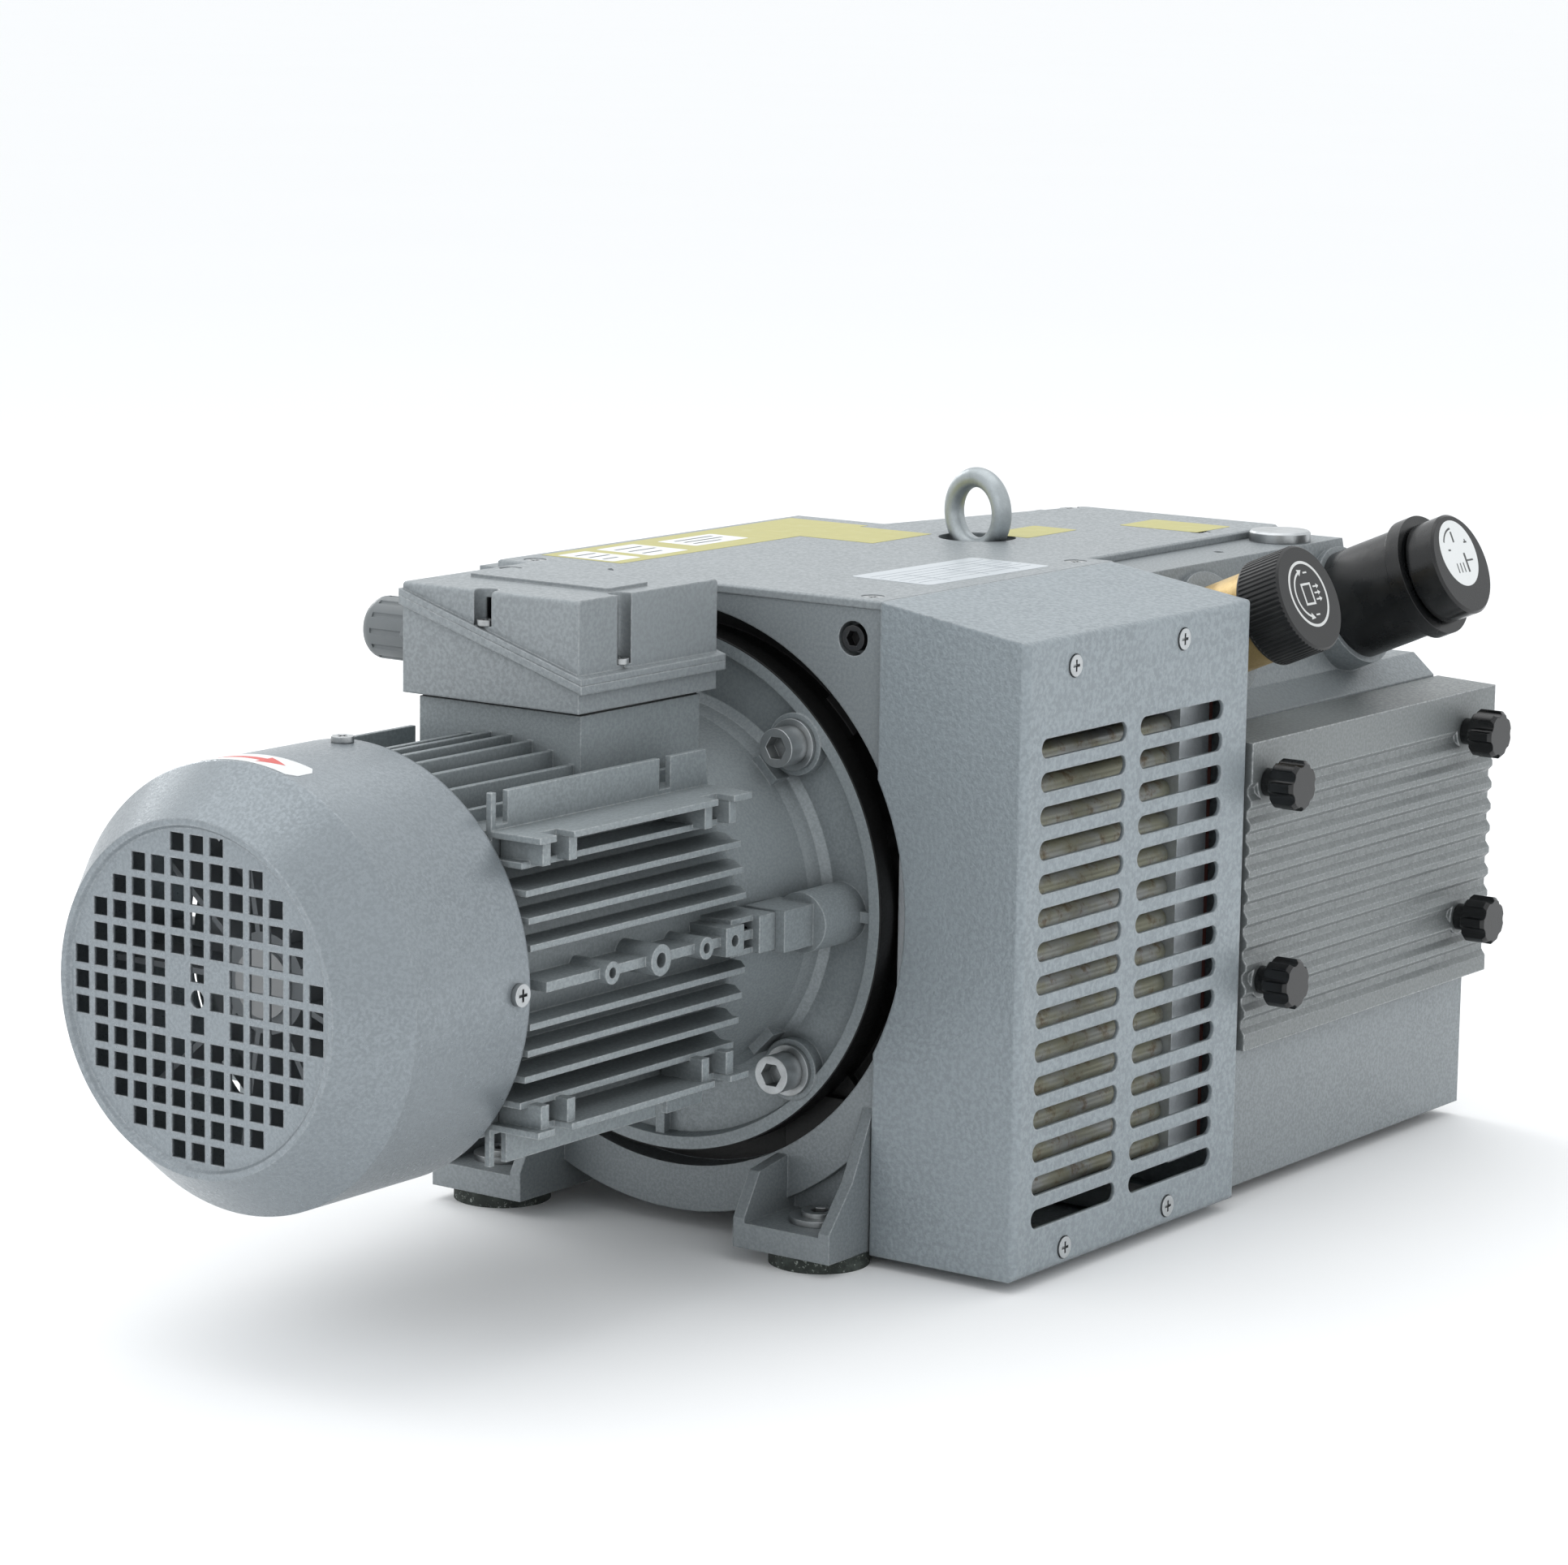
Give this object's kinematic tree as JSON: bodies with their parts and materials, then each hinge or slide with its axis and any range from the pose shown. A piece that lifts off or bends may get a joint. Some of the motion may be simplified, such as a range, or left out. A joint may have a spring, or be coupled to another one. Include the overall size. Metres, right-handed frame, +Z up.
{
  "type": "rotary vane vacuum pump",
  "caption": "Dry rotary vane vacuum pump driven by a flanged finned electric motor, with ribbed filter cover, slotted side hood, regulating valves, lifting eye and rubber feet.",
  "frame": {"origin": "on the floor, in the middle of the four foot bolts", "axes": "+X along the shaft from the motor fan to the pump end, +Z up"},
  "size_m": [0.77, 0.3487, 0.3435],
  "materials": {
    "motor_paint": "silver hammer paint on cast aluminium",
    "cover_paint": "silver hammer paint on pressed steel",
    "casting_paint": "silver hammer paint on cast iron",
    "sheet_paint": "stippled silver paint on sheet steel",
    "zinc_steel": "zinc plated",
    "machined_steel": "machined",
    "laminations": "stacked electrical steel",
    "copper": "enamelled copper",
    "brass": "turned brass",
    "black_plastic": "fine grained black plastic",
    "gloss_black": "glossy black plastic",
    "fan_plastic": "moulded plastic",
    "gland_grey": "grey polyamide",
    "rubber": "moulded rubber with pale flecks",
    "coupling_rubber": "elastomer",
    "cooler_aluminium": "bare aluminium",
    "cooler_tube": "stained aluminium",
    "carbon": "pressed carbon",
    "filter_media": "pleated filter paper"
  },
  "bodies": {
    "root": {"cable_gland_body": "gland_grey", "cable_gland_nut": "gland_grey", "casting_screws": "zinc_steel", "cooler_headers": "cooler_aluminium", "cooler_tubes": "cooler_tube", "end_plates": "casting_paint", "fan_cover": "cover_paint", "fan_cover_screws": "zinc_steel", "fan_housing": "casting_paint", "filler_plug": "zinc_steel", "filter_cartridges": "filter_media", "flange_bolts": "zinc_steel", "flange_washers": "zinc_steel", "foot_bolts": "zinc_steel", "hood_brackets": "zinc_steel", "lid": "sheet_paint", "lid_screws": "zinc_steel", "lifting_eye": "zinc_steel", "motor_bearings": "machined_steel", "motor_flange": "motor_paint", "motor_housing": "motor_paint", "motor_rear_shield": "motor_paint", "pressure_valve_body": "brass", "pump_bearings": "machined_steel", "pump_cylinder": "casting_paint", "pump_housing": "casting_paint", "rubber_feet": "rubber", "shaft_seals": "rubber", "side_hood": "sheet_paint", "side_hood_screws": "zinc_steel", "stator_core": "laminations", "stator_windings": "copper", "terminal_box_body": "motor_paint", "terminal_box_gasket": "rubber", "terminal_box_lid": "motor_paint", "terminal_box_screws": "zinc_steel", "vacuum_valve_body": "black_plastic"},
    "rotor": {"motor_fan": "fan_plastic", "motor_rotor": "machined_steel", "cooling_fan": "cooler_aluminium", "coupling_spider": "coupling_rubber", "coupling_pump_hub": "machined_steel", "pump_rotor": "machined_steel"},
    "vane_1": {"vane_1": "carbon"},
    "vane_2": {"vane_2": "carbon"},
    "vane_3": {"vane_3": "carbon"},
    "vane_4": {"vane_4": "carbon"},
    "vane_5": {"vane_5": "carbon"},
    "vane_6": {"vane_6": "carbon"},
    "vane_7": {"vane_7": "carbon"},
    "pressure_valve_knob": {"pressure_valve_knob": "black_plastic"},
    "pressure_valve_plunger": {"pressure_valve_plunger": "brass"},
    "vacuum_valve_knob": {"vacuum_valve_knob": "black_plastic"},
    "vacuum_valve_plunger": {"vacuum_valve_plunger": "brass"},
    "filter_cover": {"filter_cover": "casting_paint"},
    "star_knob_1": {"star_knob_1": "gloss_black"},
    "star_knob_2": {"star_knob_2": "gloss_black"},
    "star_knob_3": {"star_knob_3": "gloss_black"},
    "star_knob_4": {"star_knob_4": "gloss_black"},
    "non_return_valve_plate": {"non_return_valve_plate": "machined_steel"}
  },
  "joints": [
    {"name": "shaft_spin", "type": "hinge", "parent": "root", "child": "rotor", "pos_m": [0, 0, 0.164], "axis": [1, 0, 0], "continuous": true},
    {"name": "vane_1_slide", "type": "slide", "parent": "rotor", "child": "vane_1", "axis": [0, 0.9781, 0.2079], "range_m": [0, 0.003]},
    {"name": "vane_2_slide", "type": "slide", "parent": "rotor", "child": "vane_2", "axis": [0, 0.4473, 0.8944], "range_m": [0, 0.003]},
    {"name": "vane_3_slide", "type": "slide", "parent": "rotor", "child": "vane_3", "axis": [0, -0.4204, 0.9074], "range_m": [0, 0.003]},
    {"name": "vane_4_slide", "type": "slide", "parent": "rotor", "child": "vane_4", "axis": [0, -0.9715, 0.2371], "range_m": [0, 0.003]},
    {"name": "vane_5_slide", "type": "slide", "parent": "rotor", "child": "vane_5", "axis": [0, -0.7911, -0.6117], "range_m": [0, 0.003]},
    {"name": "vane_6_slide", "type": "slide", "parent": "rotor", "child": "vane_6", "axis": [0, -0.015, -0.9999], "range_m": [0, 0.003]},
    {"name": "vane_7_slide", "type": "slide", "parent": "rotor", "child": "vane_7", "axis": [0, 0.7724, -0.6351], "range_m": [0, 0.003]},
    {"name": "pressure_valve_turn", "type": "hinge", "parent": "root", "child": "pressure_valve_knob", "pos_m": [0.08, -0.14572, 0.2695], "axis": [0, -0.9171, 0.3987], "range_deg": [0, 1080]},
    {"name": "pressure_valve_lift", "type": "slide", "parent": "root", "child": "pressure_valve_plunger", "axis": [0, -0.9171, 0.3987], "range_m": [0, 0.006]},
    {"name": "vacuum_valve_turn", "type": "hinge", "parent": "root", "child": "vacuum_valve_knob", "pos_m": [0.213, -0.14572, 0.2695], "axis": [0, -0.9171, 0.3987], "range_deg": [0, 1080]},
    {"name": "vacuum_valve_lift", "type": "slide", "parent": "root", "child": "vacuum_valve_plunger", "axis": [0, -0.9171, 0.3987], "range_m": [0, 0.006]},
    {"name": "filter_cover_pull", "type": "slide", "parent": "root", "child": "filter_cover", "axis": [0, -1, 0], "range_m": [0, 0.15]},
    {"name": "star_knob_1_turn", "type": "hinge", "parent": "filter_cover", "child": "star_knob_1", "pos_m": [0.0535, -0.198, 0.111], "axis": [0, -1, 0], "continuous": true},
    {"name": "star_knob_2_turn", "type": "hinge", "parent": "filter_cover", "child": "star_knob_2", "pos_m": [0.0535, -0.198, 0.2075], "axis": [0, -1, 0], "continuous": true},
    {"name": "star_knob_3_turn", "type": "hinge", "parent": "filter_cover", "child": "star_knob_3", "pos_m": [0.254, -0.198, 0.111], "axis": [0, -1, 0], "continuous": true},
    {"name": "star_knob_4_turn", "type": "hinge", "parent": "filter_cover", "child": "star_knob_4", "pos_m": [0.254, -0.198, 0.2075], "axis": [0, -1, 0], "continuous": true},
    {"name": "non_return_valve_slide", "type": "slide", "parent": "root", "child": "non_return_valve_plate", "axis": [-1, 0, 0], "range_m": [0, 0.008]}
  ],
  "couplings": [
    {"joint": "pressure_valve_lift", "follows": "pressure_valve_turn", "m_per_rad": 0.00031828},
    {"joint": "vacuum_valve_lift", "follows": "vacuum_valve_turn", "m_per_rad": 0.00031828}
  ]
}
